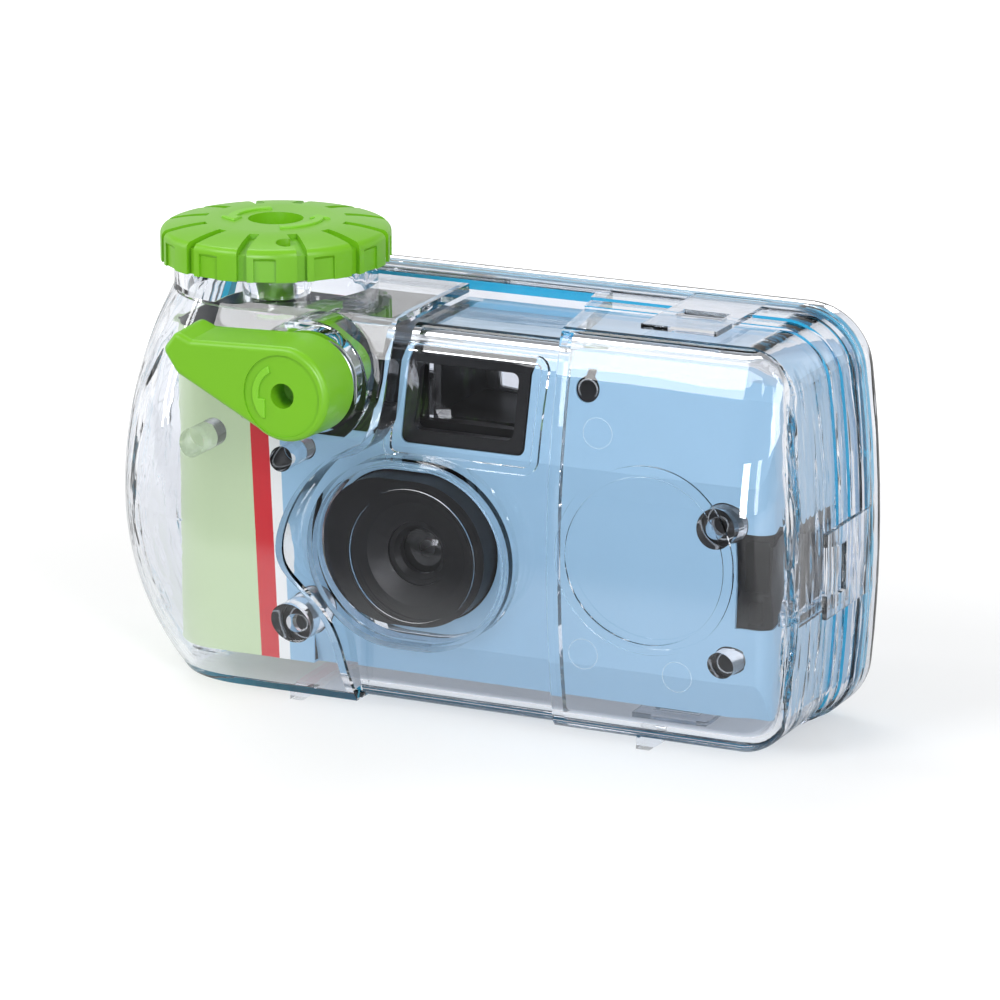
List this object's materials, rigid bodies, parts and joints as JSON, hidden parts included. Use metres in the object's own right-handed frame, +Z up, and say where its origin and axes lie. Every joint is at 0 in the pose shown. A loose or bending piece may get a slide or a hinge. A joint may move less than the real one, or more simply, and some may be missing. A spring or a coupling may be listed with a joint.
{
  "type": "waterproof disposable film camera",
  "caption": "Single-use film camera in a clear waterproof case, with a round wind knob, a shutter lever, a lens port, and the film and shutter works inside.",
  "frame": {"origin": "middle of the bounding box in plan, at the height of the feet", "axes": "+X to the viewer's right, the front with the lens towards -Y, +Z up"},
  "size_m": [0.125, 0.054, 0.0766],
  "materials": {
    "clear_plastic": "clear, polished",
    "lens_plastic": "clear, polished",
    "green_plastic": "satin",
    "gasket_rubber": "matt",
    "black_rubber": "matt",
    "steel": "bright",
    "black_plastic": "fine texture",
    "printed_card": "printed card in green, red, white and blue",
    "white_plastic": "satin",
    "grey_plastic": "satin",
    "cassette_metal": "satin",
    "film": "glossy"
  },
  "bodies": {
    "case": {"front_case": "clear_plastic", "rear_case": "clear_plastic", "seal_gasket": "gasket_rubber", "wind_shaft_o_ring": "black_rubber", "lever_o_ring": "black_rubber", "lever_return_spring": "steel", "camera_front_cover": "black_plastic", "camera_rear_cover": "black_plastic", "camera_frame": "black_plastic", "camera_label": "printed_card", "taking_lens": "lens_plastic", "lens_retainer": "black_plastic", "aperture_plate": "steel", "shutter_spring": "steel", "striker_spring": "steel", "finder_front_lens": "lens_plastic", "finder_eyepiece": "lens_plastic", "wheel_pawl": "white_plastic", "cassette_shell": "cassette_metal", "film_strip": "film"},
    "winder": {"wind_knob": "green_plastic", "wind_shaft": "green_plastic", "wind_shaft_clip": "steel", "advance_wheel": "white_plastic", "cassette_spool": "grey_plastic"},
    "supply": {"supply_spool": "grey_plastic", "film_roll": "film"},
    "sprocket": {"sprocket_wheel": "white_plastic"},
    "counter": {"counter_disc": "white_plastic"},
    "lever": {"shutter_lever": "green_plastic", "lever_shaft": "steel", "lever_shaft_clip": "steel", "lever_press_arm": "green_plastic"},
    "button": {"shutter_button": "grey_plastic"},
    "blade": {"shutter_blade": "steel"},
    "striker": {"blade_striker": "steel"}
  },
  "joints": [
    {"name": "wind_turn", "type": "hinge", "parent": "case", "child": "winder", "pos_m": [-0.0371, 0.0058, 0.07], "axis": [0, 0, 1], "continuous": true},
    {"name": "supply_turn", "type": "hinge", "parent": "case", "child": "supply", "pos_m": [0.0434, 0.008, 0.03], "axis": [0, 0, 1], "continuous": true},
    {"name": "sprocket_turn", "type": "hinge", "parent": "case", "child": "sprocket", "pos_m": [-0.0204, 0.0145, 0.0444], "axis": [0, 0, 1], "continuous": true},
    {"name": "counter_turn", "type": "hinge", "parent": "case", "child": "counter", "pos_m": [-0.015, 0.011, 0.057], "axis": [0, 0, 1], "continuous": true},
    {"name": "lever_press", "type": "hinge", "parent": "case", "child": "lever", "pos_m": [-0.0195, 0, 0.0562], "axis": [0, -1, 0], "range_deg": [0, 12.6], "stiffness_Nm_per_rad": 0.05, "springref_deg": -8.59},
    {"name": "button_slide", "type": "slide", "parent": "case", "child": "button", "axis": [0, 0, -1], "range_m": [0, 0.00165]},
    {"name": "blade_swing", "type": "hinge", "parent": "case", "child": "blade", "pos_m": [0.0064, -0.0063, 0.0372], "axis": [0, -1, 0], "range_deg": [0, 25.3]},
    {"name": "striker_swing", "type": "hinge", "parent": "case", "child": "striker", "pos_m": [0.015, -0.0057, 0.0334], "axis": [0, -1, 0], "range_deg": [0, 20.3]}
  ],
  "couplings": [
    {"joint": "supply_turn", "follows": "wind_turn", "ratio": 0.71},
    {"joint": "sprocket_turn", "follows": "wind_turn", "ratio": 1.4},
    {"joint": "counter_turn", "follows": "wind_turn", "ratio": -0.044},
    {"joint": "button_slide", "follows": "lever_press", "m_per_rad": 0.0074},
    {"joint": "blade_swing", "follows": "lever_press", "ratio": 2},
    {"joint": "striker_swing", "follows": "lever_press", "ratio": 1.6}
  ]
}
